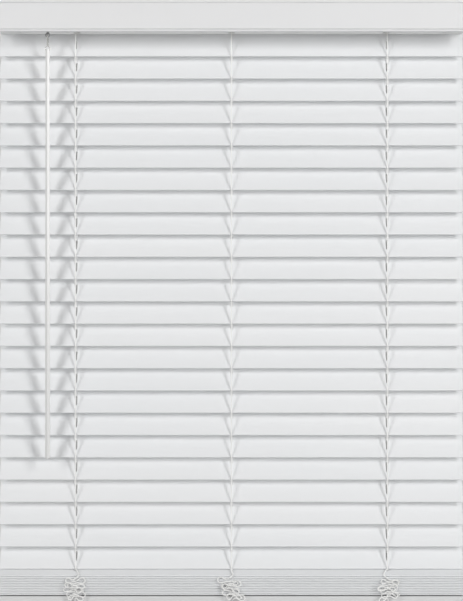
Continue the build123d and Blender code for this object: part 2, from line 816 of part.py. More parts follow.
def slack_route(x, shift, side, phase, face):
    """Route of one slack ladder cord; face is -1 in front of the stack and 1 behind it.

    Loop k turns at height top - k * step, on alternate sides; its upper and lower corners lie
    in two layers, so that each crossing passes behind or before the next one.
    """
    near = slat_width / 2 + slack_standoff
    layers = (near + loop_layer, near)
    if face < 0:
        points = [(x, ladder_y, front_end - slack_start_gap)]
    else:
        leaning_end = (x, rung_reach * cos(leaning), leaning_slat + rung_reach * sin(leaning))
        points = [(x, ladder_y, back_end - slack_start_gap), leaning_end]
    points.append((x + shift, near, stack_top + loop_step))
    first_loop = stack_top - loop_height / 2
    for k in range(slack_loops):
        to_side = side * (-1) ** k * (loop_reach + loop_reach_change * sin(reach_wave * k + phase))
        middle = first_loop - k * loop_step + loop_height_change * sin(height_wave * k + 2 * phase)
        points.append((x + to_side, layers[k % 2], middle + loop_height / 2))
        points.append((x + to_side, layers[1 - k % 2], middle - loop_height / 2))
    under = rail_bottom + ladder_cord / 2 + cord_groove_gap
    tail = rail_depth / 2 + ladder_cord / 2 + cord_edge_gap
    points += [(x, tail, under + tail_drop), (x, tail, under), (x, plug_radius + ladder_cord / 2, under)]
    return [(px, face * out, pz) for px, out, pz in points]


# Slack ladder cord, one unbroken tube at each ladder cord
with BuildPart() as ladder_slack:
    for face in (-1, 1):
        for number, x in enumerate(ladder_places):
            route = slack_route(x, -face * lead_shifts[number], loop_sides[number], number, face)
            radii = run_radii(route)[:-1] + [cord_edge_turn]
            cord, line = tube(route, radii, ladder_cord)
            add(cord)
            plain_volume = pi * ladder_cord**2 / 4 * line.length
            print(
                f"slack cord at {x:.0f}, face {face}: {line.length:.0f} mm long,"
                f" volume {cord.volume / plain_volume:.4f} of section times length,"
                f" least self gap {self_gap(line, ladder_cord):.2f} mm,"
                f" radii {min(radii):.1f} to {max(radii):.1f} mm"
            )
save(ladder_slack.part, "ladder_slack")

# Bottom rail, with wells for the plugs, holes for the lift cords and grooves for the ladder ends
groove_size = ladder_cord + 2 * cord_groove_gap
with BuildPart() as bottom_rail:
    with BuildSketch(Plane.YZ.offset(-rail_length / 2)):
        with Locations((0, (rail_top + rail_bottom) / 2)):
            RectangleRounded(rail_depth, rail_height, rail_round)
    extrude(amount=rail_length)
    with BuildSketch(Plane.XY.offset(rail_bottom)):
        with Locations(*[(x, 0) for x in ladder_places]):
            Circle(plug_radius)
    extrude(amount=plug_height + plug_gap, mode=Mode.SUBTRACT)
    with BuildSketch(Plane.XY.offset(rail_bottom)):
        with Locations(*[(x, 0) for x in lift_places]):
            Circle(rail_cord_hole)
    extrude(amount=rail_height, mode=Mode.SUBTRACT)
    with BuildSketch(Plane.XY.offset(rail_bottom)):
        with Locations(*[(x, 0) for x in ladder_places]):
            Rectangle(groove_size, rail_depth)
    extrude(amount=groove_size, mode=Mode.SUBTRACT)
save(bottom_rail.part, "bottom_rail")

# Plugs that close the wells and hold the cord ends
with BuildPart() as rail_plugs:
    with BuildSketch(Plane.XY.offset(rail_bottom)):
        with Locations(*[(x, 0) for x in ladder_places]):
            Circle(plug_radius - plug_gap)
    extrude(amount=plug_height)
    with BuildSketch(Plane.XY.offset(well_floor)):
        with Locations(*[(x, 0) for x in ladder_places]):
            Circle(plug_radius - plug_gap - plug_wall)
    extrude(amount=plug_well, mode=Mode.SUBTRACT)
save(rail_plugs.part, "rail_plugs")
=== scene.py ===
import json
from math import cos, pi, radians, sin, tan

import bpy
import numpy as np
from bpy.props import FloatProperty, FloatVectorProperty, IntProperty, PointerProperty
from bpy.types import Operator, Panel, PropertyGroup
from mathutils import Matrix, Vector


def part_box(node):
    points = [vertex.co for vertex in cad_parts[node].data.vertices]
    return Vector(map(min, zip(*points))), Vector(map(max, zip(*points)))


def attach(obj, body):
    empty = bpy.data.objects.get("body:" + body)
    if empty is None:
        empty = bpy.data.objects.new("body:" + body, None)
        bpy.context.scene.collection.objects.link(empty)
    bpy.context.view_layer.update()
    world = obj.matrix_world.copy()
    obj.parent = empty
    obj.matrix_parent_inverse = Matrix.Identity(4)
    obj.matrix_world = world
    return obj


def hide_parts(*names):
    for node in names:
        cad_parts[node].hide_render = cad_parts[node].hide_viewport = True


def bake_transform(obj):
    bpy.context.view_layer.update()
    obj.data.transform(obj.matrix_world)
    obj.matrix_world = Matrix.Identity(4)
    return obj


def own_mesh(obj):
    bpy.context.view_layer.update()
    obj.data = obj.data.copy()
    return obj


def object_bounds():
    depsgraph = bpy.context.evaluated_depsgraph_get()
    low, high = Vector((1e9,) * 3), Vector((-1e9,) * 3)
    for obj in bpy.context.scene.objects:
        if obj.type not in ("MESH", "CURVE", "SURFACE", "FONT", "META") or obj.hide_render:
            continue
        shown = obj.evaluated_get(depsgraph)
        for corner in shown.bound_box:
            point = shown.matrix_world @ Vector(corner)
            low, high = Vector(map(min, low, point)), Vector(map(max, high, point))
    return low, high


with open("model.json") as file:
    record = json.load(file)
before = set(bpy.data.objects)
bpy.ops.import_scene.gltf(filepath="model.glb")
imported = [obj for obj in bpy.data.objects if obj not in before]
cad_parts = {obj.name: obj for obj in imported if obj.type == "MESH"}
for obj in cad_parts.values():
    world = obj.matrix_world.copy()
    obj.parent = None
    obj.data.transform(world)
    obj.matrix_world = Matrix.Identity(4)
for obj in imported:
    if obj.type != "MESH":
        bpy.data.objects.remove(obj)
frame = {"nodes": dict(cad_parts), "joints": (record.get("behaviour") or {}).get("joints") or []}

bl_info = {
    "name": "Venetian Blind Dresser",
    "version": (1, 0, 0),
    "blender": (4, 5, 0),
    "location": "3D View > Sidebar > Blind",
    "description": "Finishes a venetian blind: slats, valance, wand, braided ladders, slack cord and stage",
    "category": "Object",
}

CAD_LOW, CAD_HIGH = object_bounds()
JOINTS = {joint["name"]: joint for joint in frame["joints"]}
HANGING = 24
SLATS = 36
LEANING = HANGING + 1


def slat_name(number):
    """Node and body name of a slat, counted from the top."""
    return f"slat_{number:02d}"


def joint_place(name):
    """Place of a hinge in the row frame, as an array."""
    return np.array(JOINTS[name]["pos_m"], float)


def slat_centre(number):
    """Middle of a slat at rest: its hinge, or the middle of its box for a gathered slat."""
    if number <= LEANING:
        return joint_place(f"{slat_name(number)}_tilt")
    low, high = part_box(slat_name(number))
    return np.array((low + high) / 2)


# Places read from the frame
FRONT_PIVOT = joint_place("front_ladder_swing")
LADDER_Y = -FRONT_PIVOT[1]
ROD_Z = joint_place("tilt")[2]
EYE = joint_place("wand_turn")
STACK_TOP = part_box(slat_name(LEANING + 1))[1].z
RAIL_LOW, RAIL_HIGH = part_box("bottom_rail")
FRONT_LADDER_LOW, FRONT_LADDER_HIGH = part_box("front_ladder_cords")
BACK_LADDER_LOW, BACK_LADDER_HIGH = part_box("back_ladder_cords")
LIFT_LOW, LIFT_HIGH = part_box("lift_cords")
SLAT_TILTS = [68.0] * HANGING + [24.0] + [0.0] * (SLATS - LEANING)

# Sides of the round profiles, and the pitch of a lift cord's braid against a ladder cord's
LADDER_SIDES = 12
LIFT_SIDES = 10
RUNG_SIDES = 8
WIRE_SIDES = 12
LIFT_BRAID = 0.8


class BlindCordSizes(PropertyGroup):
    """Sizes of the ladder cords, the rungs, the lift cords and the gathered slack."""

    ladder_offset: FloatProperty(
        name="Ladder Offset", description="Distance of the outer ladders from the middle",
        default=0.297, unit="LENGTH")
    ladder_cord: FloatProperty(
        name="Ladder Cord", description="Diameter of an upright ladder cord", default=0.002, unit="LENGTH")
    rung_cord: FloatProperty(
        name="Rung Cord", description="Diameter of a rung", default=0.001, unit="LENGTH")
    rung_spread: FloatProperty(
        name="Rung Spread", description="Distance of each rung of a pair from the ladder cord",
        default=0.0022, unit="LENGTH")
    rung_drop: FloatProperty(
        name="Rung Drop", description="Depth of a rung's middle line under the middle of its slat",
        default=0.00215, unit="LENGTH")
    lift_cord: FloatProperty(
        name="Lift Cord", description="Diameter of a lift cord", default=0.0014, unit="LENGTH")
    braid_pitch: FloatProperty(
        name="Braid Pitch", description="Length of one full turn of a braid strand",
        default=0.0062, unit="LENGTH")
    slack_loops: IntProperty(
        name="Slack Loops", description="Loops in each bunch of slack ladder cord", default=12)
    loop_reach: FloatProperty(
        name="Loop Reach", description="Mean reach of a slack loop to its side",
        default=0.0145, unit="LENGTH")
    loop_reach_change: FloatProperty(
        name="Loop Reach Change", description="How far the reach differs from loop to loop",
        default=0.0032, unit="LENGTH")
    loop_height: FloatProperty(
        name="Loop Height", description="Height of one slack loop", default=0.008, unit="LENGTH")
    loop_height_change: FloatProperty(
        name="Loop Height Change", description="How far the loops' heights differ",
        default=0.0018, unit="LENGTH")
    loop_step: FloatProperty(
        name="Loop Step", description="Drop from one slack loop to the next", default=0.003, unit="LENGTH")
    loop_layer: FloatProperty(
        name="Loop Layer", description="Depth from the first to the last of a bunch's three layers",
        default=0.0052, unit="LENGTH")
    slack_standoff: FloatProperty(
        name="Slack Standoff", description="Distance of a bunch's inner layer from the slat edges",
        default=0.0028, unit="LENGTH")


class BlindColours(PropertyGroup):
    """Colours of the finishes."""

    slat: FloatVectorProperty(
        name="Slat White", description="Colour of the slats", subtype="COLOR",
        size=3, min=0, max=1, default=(0.802, 0.809, 0.815))
    # The rail's colour is set darker than the slats': painted shade from the gathered stack above it, partly a
    # real mismatch of whites.
    rail: FloatVectorProperty(
        name="Rail White With Painted Shade", description="Colour of the bottom rail", subtype="COLOR",
        size=3, min=0, max=1, default=(0.670, 0.672, 0.668))
    valance: FloatVectorProperty(
        name="Valance White", description="Colour of the valance", subtype="COLOR",
        size=3, min=0, max=1, default=(0.767, 0.766, 0.768))
    wand: FloatVectorProperty(
        name="Wand White", description="Colour of the wand", subtype="COLOR",
        size=3, min=0, max=1, default=(0.745, 0.745, 0.738))
    cord: FloatVectorProperty(
        name="Cord White", description="Colour of the braided cords", subtype="COLOR",
        size=3, min=0, max=1, default=(0.950, 0.948, 0.938))
    enamel: FloatVectorProperty(
        name="Enamel White", description="Colour of the painted headrail and brackets", subtype="COLOR",
        size=3, min=0, max=1, default=(0.790, 0.795, 0.795))
    nylon: FloatVectorProperty(
        name="Nylon White", description="Colour of the moulded inner parts", subtype="COLOR",
        size=3, min=0, max=1, default=(0.760, 0.755, 0.735))
    zinc: FloatVectorProperty(
        name="Zinc", description="Colour of the plated rod and stem", subtype="COLOR",
        size=3, min=0, max=1, default=(0.400, 0.405, 0.410))
    wire: FloatVectorProperty(
        name="Hook Wire", description="Colour of the wand's wire hook", subtype="COLOR",
        size=3, min=0, max=1, default=(0.560, 0.555, 0.545))
    spring: FloatVectorProperty(
        name="Spring Steel", description="Colour of the motor's flat spring", subtype="COLOR",
        size=3, min=0, max=1, default=(0.330, 0.345, 0.380))
    wall: FloatVectorProperty(
        name="Wall", description="Colour of the wall", subtype="COLOR",
        size=3, min=0, max=1, default=(0.78, 0.78, 0.78))
    floor: FloatVectorProperty(
        name="Floor", description="Colour of the floor", subtype="COLOR",
        size=3, min=0, max=1, default=(0.62, 0.62, 0.62))


class BlindStage(PropertyGroup):
    """Camera and light of the studio."""

    camera_distance: FloatProperty(
        name="Camera Distance", description="Distance of the camera from the slat axes",
        default=2.5, unit="LENGTH")
    camera_height: FloatProperty(
        name="Camera Height", description="Height of the camera in the blind's frame",
        default=-0.5643, unit="LENGTH")
    lens: FloatProperty(
        name="Lens", description="Focal length in millimetres for a 36 mm long side", default=78.23)
    lamp_turn: FloatProperty(
        name="Lamp Turn", description="Angle of each front lamp from straight ahead",
        default=radians(46), subtype="ANGLE")
    lamp_rise: FloatProperty(
        name="Lamp Rise", description="Angle of each front lamp above the blind's middle",
        default=radians(16.5), subtype="ANGLE")
    lamp_distance: FloatProperty(
        name="Lamp Distance", description="Distance of each lamp from the blind's middle",
        default=5.0, unit="LENGTH")
    lamp_width: FloatProperty(
        name="Lamp Width", description="Width of each strip lamp", default=1.2, unit="LENGTH")
    lamp_height: FloatProperty(
        name="Lamp Height", description="Height of each strip lamp", default=2.9, unit="LENGTH")
    left_power: FloatProperty(
        name="Left Lamp", description="Power of the left front lamp", default=104.0, unit="POWER")
    right_power: FloatProperty(
        name="Right Lamp", description="Power of the right front lamp", default=147.0, unit="POWER")
    back_power: FloatProperty(
        name="Back Lamps", description="Power of each lamp behind the blind", default=60.0, unit="POWER")
    back_turn: FloatProperty(
        name="Back Turn", description="Angle of each back lamp from straight ahead",
        default=radians(145), subtype="ANGLE")
    sky: FloatProperty(
        name="Sky", description="Strength of the even light from all round", default=0.16)
    wall_gap: FloatProperty(
        name="Wall Gap", description="Distance of the wall behind the slat axes", default=0.1, unit="LENGTH")
    wall_height: FloatProperty(
        name="Wall Height", description="Height of the wall over the blind's top", default=0.7, unit="LENGTH")
    wall_half: FloatProperty(
        name="Wall Half Width", description="Half the width of the wall", default=2.4, unit="LENGTH")
    floor_gap: FloatProperty(
        name="Floor Gap", description="Room between the fully lowered rail and the floor",
        default=0.03, unit="LENGTH")


# Meshes from arrays
def frames_along(path, closed=False):
    """Side and upper directions of every point of a path, turned as little as possible on the way.

    The tangent is the difference of the neighbours. The first side is square to the tangent, and
    each next side is the last one with its part along the new tangent taken away.
    """
    if closed:
        tangent = np.roll(path, -1, axis=0) - np.roll(path, 1, axis=0)
    else:
        tangent = np.gradient(path, axis=0)
    tangent /= np.linalg.norm(tangent, axis=1, keepdims=True)
    helper = np.eye(3)[np.argmin(np.abs(tangent[0]))]
    side = np.empty_like(path)
    last = np.cross(tangent[0], helper)
    for index, direction in enumerate(tangent):
        last = last - direction * (last @ direction)
        last = last / np.linalg.norm(last)
        side[index] = last
    return side, np.cross(tangent, side)


def tube_rings(path, radius, sides, closed=False):
    """Rings of a round profile carried along a path: p + r (side cos a + upper sin a)."""
    side, upper = frames_along(path, closed)
    angle = np.linspace(0, 2 * pi, sides, endpoint=False)
    out = side[:, None] * np.cos(angle)[:, None] + upper[:, None] * np.sin(angle)[:, None]
    return path[:, None] + out * np.broadcast_to(radius, (len(path), sides))[:, :, None]


def along(path):
    """Distance of every point of a path from its start."""
    return np.concatenate([[0], np.cumsum(np.linalg.norm(np.diff(path, axis=0), axis=1))])


def braided_rings(path, diameter, pitch, sides=16, strands=4, depth=0.16):
    """Rings of a braided cord.

    Two families of strands wind round it in opposite senses. The radius at angle a and length s is
    r (1 - depth + depth max(|cos(k a + w s)|, |cos(k a - w s)|)), with k half the strands' number
    and w one turn for each pitch.
    """
    angle = np.linspace(0, 2 * pi, sides, endpoint=False)[None]
    turn = 2 * pi * along(path)[:, None] / pitch
    lay = strands / 2
    left = np.abs(np.cos(lay * angle + turn))
    right = np.abs(np.cos(lay * angle - turn))
    return tube_rings(path, diameter / 2 * (1 - depth + depth * np.maximum(left, right)), sides)


def ring_faces(rings, sides, closed):
    """Quads between neighbouring rings, turned outwards, with a cap at both ends of an open tube."""
    ring = np.arange(rings if closed else rings - 1)[:, None] * sides
    step = np.arange(sides)[None]
    beside = (step + 1) % sides
    above = (ring + sides) % (rings * sides)
    quads = np.stack([ring + step, ring + beside, above + beside, above + step], axis=-1).reshape(-1, 4)
    if closed:
        return quads.tolist(), []
    last = (rings - 1) * sides
    caps = [list(range(sides))[::-1], list(range(last, last + sides))]
    return quads.tolist(), caps


def make_piece(name, tubes, material, closed=False):
    """One object from several tubes of rings, with a UV map: round the tube, and millimetres along it."""
    vertices, faces, corners = [], [], []
    offset = 0
    for rings in tubes:
        count, sides = rings.shape[:2]
        quads, caps = ring_faces(count, sides, closed)
        vertices.append(rings.reshape(-1, 3))
        faces += [[index + offset for index in face] for face in quads + caps]
        length = along(rings.mean(axis=1)) * 1000
        length = np.append(length, length[-1] + length[1]) if closed else length
        low, high = length[:-1, None], length[1:, None]
        here = np.arange(sides)[None] / sides
        here, there, low, high = np.broadcast_arrays(here, here + 1 / sides, low, high)
        u = np.stack([here, there, there, here], -1)
        v = np.stack([low, low, high, high], -1)
        corners.append(np.stack([u, v], -1).reshape(-1, 2))
        corners.append(np.zeros((sum(len(cap) for cap in caps), 2)))
        offset += count * sides
    mesh = bpy.data.meshes.new(name)
    mesh.from_pydata(np.concatenate(vertices).tolist(), [], faces)
    uv = mesh.uv_layers.new(name="cord")
    uv.data.foreach_set("uv", np.concatenate(corners).astype(np.float32).ravel())
    mesh.polygons.foreach_set("use_smooth", [len(face) == 4 for face in faces])
    mesh.materials.append(material)
    mesh.update()
    piece = bpy.data.objects.new(name, mesh)
    bpy.context.scene.collection.objects.link(piece)
    return piece


def straight(start, end, step):
    """Evenly spaced points from start to end."""
    start, end = np.array(start, float), np.array(end, float)
    count = max(2, int(round(np.linalg.norm(end - start) / step)) + 1)
    return start + (end - start) * np.linspace(0, 1, count)[:, None]


def spline_path(route, resolution=16):
    """Points of the smooth NURBS line whose control points are the route's points."""
    curve = bpy.data.curves.new("route", "CURVE")
    curve.dimensions = "3D"
    curve.resolution_u = resolution
    spline = curve.splines.new("NURBS")
    spline.points.add(len(route) - 1)
    spline.points.foreach_set("co", np.c_[np.array(route), np.ones(len(route))].astype(np.float32).ravel())
    spline.order_u = 3
    spline.use_endpoint_u = True
    holder = bpy.data.objects.new("route", curve)
    bpy.context.scene.collection.objects.link(holder)
    bpy.context.view_layer.update()
    mesh = bpy.data.meshes.new_from_object(holder)
    points = np.zeros(len(mesh.vertices) * 3, np.float32)
    mesh.vertices.foreach_get("co", points)
    bpy.data.objects.remove(holder)
    bpy.data.curves.remove(curve)
    bpy.data.meshes.remove(mesh)
    return points.reshape(-1, 3).astype(float)


# Materials
class Finish:
    """A material under construction: its nodes, links and shader."""

    def __init__(self, name, colour, roughness, **sockets):
        self.material = bpy.data.materials.new(name)
        self.material.use_nodes = True
        self.nodes = self.material.node_tree.nodes
        self.links = self.material.node_tree.links
        self.shader = self.nodes["Principled BSDF"]
        self.colour = (*colour, 1)
        self.shader.inputs["Base Color"].default_value = self.colour
        self.shader.inputs["Roughness"].default_value = roughness
        for socket, value in sockets.items():
            self.shader.inputs[socket.replace("_", " ")].default_value = value
        self.material.diffuse_color = self.colour

    def add(self, kind, **settings):
        """A new node; plain settings are its own, and those of its sockets are set by name."""
        node = self.nodes.new(kind)
        for key, value in settings.items():
            if hasattr(node, key):
                setattr(node, key, value)
            else:
                node.inputs[key.replace("_", " ")].default_value = value
        return node

    def coordinates(self, scale, uv=None):
        """Stretched Object coordinates, or those of a named UV map."""
        source = self.add("ShaderNodeUVMap", uv_map=uv) if uv else self.add("ShaderNodeTexCoord")
        mapping = self.add("ShaderNodeMapping")
        mapping.inputs["Scale"].default_value = scale
        self.links.new(source.outputs["UV" if uv else "Object"], mapping.inputs["Vector"])
        return mapping.outputs["Vector"]

    def noise(self, scale, detail=3.0, roughness=0.5, uv=None):
        """Noise stretched by a scale for each axis."""
        node = self.add("ShaderNodeTexNoise", Scale=1.0, Detail=detail, Roughness=roughness)
        self.links.new(self.coordinates(scale, uv), node.inputs["Vector"])
        return node.outputs["Fac"]

    def spread(self, value, low, high, start=0.3, end=0.7):
        """A value between start and end, carried to the range from low to high."""
        node = self.add("ShaderNodeMapRange")
        for socket, number in (("From Min", start), ("From Max", end), ("To Min", low), ("To Max", high)):
            node.inputs[socket].default_value = number
        self.links.new(value, node.inputs["Value"])
        return node.outputs["Result"]

    def tint(self, value, dark, tone=(1, 1, 1)):
        """Colour that falls to a share of itself, with a tone, where the value is low."""
        node = self.add("ShaderNodeMix", data_type="RGBA")
        shade = [channel * dark * part for channel, part in zip(self.colour, tone)]
        node.inputs["A"].default_value = (*shade, 1)
        node.inputs["B"].default_value = self.colour
        self.links.new(value, node.inputs["Factor"])
        self.links.new(node.outputs["Result"], self.shader.inputs["Base Color"])

    def rough(self, value):
        """Roughness from a value."""
        self.links.new(value, self.shader.inputs["Roughness"])

    def bump(self, value, distance, strength=1.0):
        """A fine relief, added to any that is there."""
        node = self.add("ShaderNodeBump", Strength=strength, Distance=distance)
        self.links.new(value, node.inputs["Height"])
        before = self.shader.inputs["Normal"].links
        if before:
            self.links.new(before[0].from_socket, node.inputs["Normal"])
        self.links.new(node.outputs["Normal"], self.shader.inputs["Normal"])


def satin_vinyl(name, colour, grain=0.985, roughness=0.46):
    """Moulded white vinyl: a faint lengthwise grain, slow colour changes and a satin skin."""
    finish = Finish(name, colour, roughness, IOR=1.46)
    long_grain = finish.noise((5, 420, 420), detail=4.0, roughness=0.6)
    finish.tint(finish.spread(finish.noise((1.1, 3, 9), detail=2.0), 0, 1), grain, (0.995, 1.0, 1.004))
    finish.rough(finish.spread(long_grain, roughness - 0.05, roughness + 0.06))
    finish.bump(long_grain, 0.00004, 0.5)
    return finish.material


def wand_vinyl(colour):
    """Extruded wand: semi gloss, with fine draw lines along it."""
    finish = Finish("wand vinyl", colour, 0.30, IOR=1.48)
    lines = finish.noise((900, 900, 4), detail=2.0)
    finish.tint(finish.spread(finish.noise((30, 30, 6)), 0, 1), 0.975, (1.0, 0.999, 0.995))
    finish.rough(finish.spread(lines, 0.26, 0.36))
    finish.bump(lines, 0.00003, 0.5)
    return finish.material


def braid(name, colour):
    """Braided polyester: crossed yarns, with painted shade in the valleys of their relief, and a soft sheen."""
    finish = Finish(name, colour, 0.78, Sheen_Weight=0.25, Sheen_Roughness=0.5, IOR=1.45)
    yarn_relief_and_shade = finish.noise((14, 2.2, 1), detail=4.0, roughness=0.65, uv="cord")
    # Painted shade: the colour darkens where this relief noise is low, in its valleys.
    finish.tint(finish.spread(yarn_relief_and_shade, 0, 1), 0.92, (1.0, 0.997, 0.985))
    finish.rough(finish.spread(yarn_relief_and_shade, 0.70, 0.86))
    finish.bump(yarn_relief_and_shade, 0.00012, 0.6)
    return finish.material


def enamel(colour):
    """Baked enamel on rolled steel: a slight orange peel."""
    finish = Finish("baked enamel", colour, 0.35, IOR=1.5)
    peel = finish.noise((600, 600, 600), detail=2.0)
    finish.tint(finish.spread(finish.noise((4, 20, 20)), 0, 1), 0.97)
    finish.rough(finish.spread(peel, 0.30, 0.42))
    finish.bump(peel, 0.00005, 0.35)
    return finish.material


def nylon(name, colour):
    """Moulded nylon: matte, with a fine spark texture."""
    finish = Finish(name, colour, 0.55, IOR=1.53)
    spark = finish.noise((1500, 1500, 1500), detail=2.0)
    finish.tint(finish.spread(finish.noise((40, 40, 40)), 0, 1), 0.95, (1.0, 0.995, 0.98))
    finish.rough(finish.spread(spark, 0.48, 0.64))
    finish.bump(spark, 0.00004, 0.4)
    return finish.material


def metal(name, colour, roughness, stretch):
    """Bare or plated steel: draw lines along the stretch and slow stains."""
    finish = Finish(name, colour, roughness, Metallic=1.0)
    lines = finish.noise(stretch, detail=3.0)
    finish.tint(finish.spread(finish.noise((90, 90, 90)), 0, 1), 0.82, (1.0, 0.99, 0.97))
    finish.rough(finish.spread(lines, roughness - 0.08, roughness + 0.10))
    finish.bump(lines, 0.00004, 0.5)
    return finish.material


def background_rays(nodes, links):
    """1 for the rays that show the background: from the camera, off a gloss and through glass."""
    rays = nodes.new("ShaderNodeLightPath")
    value = rays.outputs["Is Camera Ray"]
    for name in ("Is Glossy Ray", "Is Transmission Ray"):
        either = nodes.new("ShaderNodeMath")
        either.operation = "MAXIMUM"
        links.new(value, either.inputs[0])
        links.new(rays.outputs[name], either.inputs[1])
        value = either.outputs[0]
    return value


def dress(material, *nodes):
    """Give CAD nodes a finish."""
    for node in nodes:
        mesh = frame["nodes"][node].data
        mesh.materials.clear()
        mesh.materials.append(material)


class BLIND_OT_slats(Operator):
    """Finish the slats and the bottom rail in satin white vinyl"""

    bl_idname = "blind.slats"
    bl_label = "Finish Slats"

    def execute(self, context):
        colours = context.scene.blind_colours
        dress(satin_vinyl("slat vinyl", colours.slat), *[slat_name(number) for number in range(1, SLATS + 1)])
        # The rail's darker vinyl carries painted shade from the stack above it, partly a real mismatch of
        # whites.
        dress(satin_vinyl("rail vinyl with painted shade", colours.rail), "bottom_rail")
        dress(nylon("plug nylon", colours.nylon), "rail_plugs")
        return {"FINISHED"}


class BLIND_OT_valance(Operator):
    """Finish the valance and its clips"""

    bl_idname = "blind.valance"
    bl_label = "Finish Valance"

    def execute(self, context):
        colours = context.scene.blind_colours
        dress(satin_vinyl("valance vinyl", colours.valance, roughness=0.42), "valance")
        dress(nylon("clip nylon", colours.nylon), "valance_clips")
        return {"FINISHED"}


class BLIND_OT_headrail(Operator):
    """Finish the headrail, the brackets and the works inside"""

    bl_idname = "blind.headrail"
    bl_label = "Finish Headrail"

    def execute(self, context):
        colours = context.scene.blind_colours
        dress(enamel(colours.enamel), "headrail", "box_brackets", "bracket_gates")
        moulded = nylon("works nylon", colours.nylon)
        dress(moulded, "tilt_gear", "tilt_drums", "drum_cradles", "tilter_case")
        dress(moulded, "motor_plates", "cord_spool", "spring_drum")
        dress(metal("zinc plate", colours.zinc, 0.36, (6, 700, 700)), "tilt_rod", "tilter_worm")
        dress(metal("spring strip", colours.spring, 0.28, (300, 300, 40)), "motor_spring")
        return {"FINISHED"}


class BLIND_OT_wand(Operator):
    """Finish the tilt wand and make its twisted wire hook"""

    bl_idname = "blind.wand"
    bl_label = "Make Wand Hook"

    wire: FloatProperty(name="Wire", description="Diameter of the wire", default=0.0015, unit="LENGTH")
    half_top: FloatProperty(
        name="Half Top", description="Half width at the eye", default=0.0036, unit="LENGTH")
    half_foot: FloatProperty(
        name="Half Foot", description="Half width at the wand", default=0.0049, unit="LENGTH")
    half_waist: FloatProperty(
        name="Half Waist", description="Half distance of the twisted strands", default=0.00125, unit="LENGTH")
    length: FloatProperty(name="Length", description="Height of the link", default=0.0295, unit="LENGTH")
    shoulder: FloatProperty(
        name="Shoulder", description="Height of each rounded end", default=0.0035, unit="LENGTH")
    twists: IntProperty(
        name="Quarter Twists", description="Quarter turns of the waist, an odd number", default=9)

    # Start and length of each stretch, as shares of the link
    NARROWING = (0.10, 0.18)
    WIDENING = (0.70, 0.14)
    TWISTING = (0.22, 0.50)
    SAMPLES = 240

    def strand(self, samples):
        """One strand from the top of the link to its foot, as x, y, z.

        Its distance from the axis falls from half_top to half_waist and rises again to half_foot as
        smooth steps, it turns by the quarter twists in between, and both ends close as half ellipses.
        The top lies across the eye and the foot across the wand.
        """
        down = (1 - np.cos(np.linspace(0, pi, samples))) / 2
        drop = down * self.length
        ease = lambda value: np.clip(value, 0, 1) ** 2 * (3 - 2 * np.clip(value, 0, 1))
        narrow = ease((down - self.NARROWING[0]) / self.NARROWING[1])
        widen = ease((down - self.WIDENING[0]) / self.WIDENING[1])
        width = self.half_top + (self.half_waist - self.half_top) * narrow
        width = width + (self.half_foot - self.half_waist) * widen
        from_end = np.minimum(drop, self.length - drop) / self.shoulder
        width = width * np.sqrt(np.clip(1 - (1 - np.clip(from_end, 0, 1)) ** 2, 0, 1))
        turn = self.twists * pi / 2 * np.clip((down - self.TWISTING[0]) / self.TWISTING[1], 0, 1)
        return np.stack([width * np.sin(turn), width * np.cos(turn), -drop], axis=1)

    def execute(self, context):
        colours = context.scene.blind_colours
        dress(wand_vinyl(colours.wand), "tilt_wand")
        first = self.strand(self.SAMPLES)
        second = first * (-1, -1, 1)
        loop = np.concatenate([first, second[::-1][1:-1]]) + EYE
        steel = metal("hook wire", colours.wire, 0.30, (500, 500, 60))
        rings = tube_rings(loop, self.wire / 2, WIRE_SIDES, closed=True)
        hook = make_piece("twisted_hook", [rings], steel, closed=True)
        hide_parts("wand_hook")
        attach(hook, "wand")
        return {"FINISHED"}


def ladder_places(context):
    """X of the three ladders, from the left."""
    offset = context.scene.blind_cords.ladder_offset
    return (-offset, 0.0, offset)


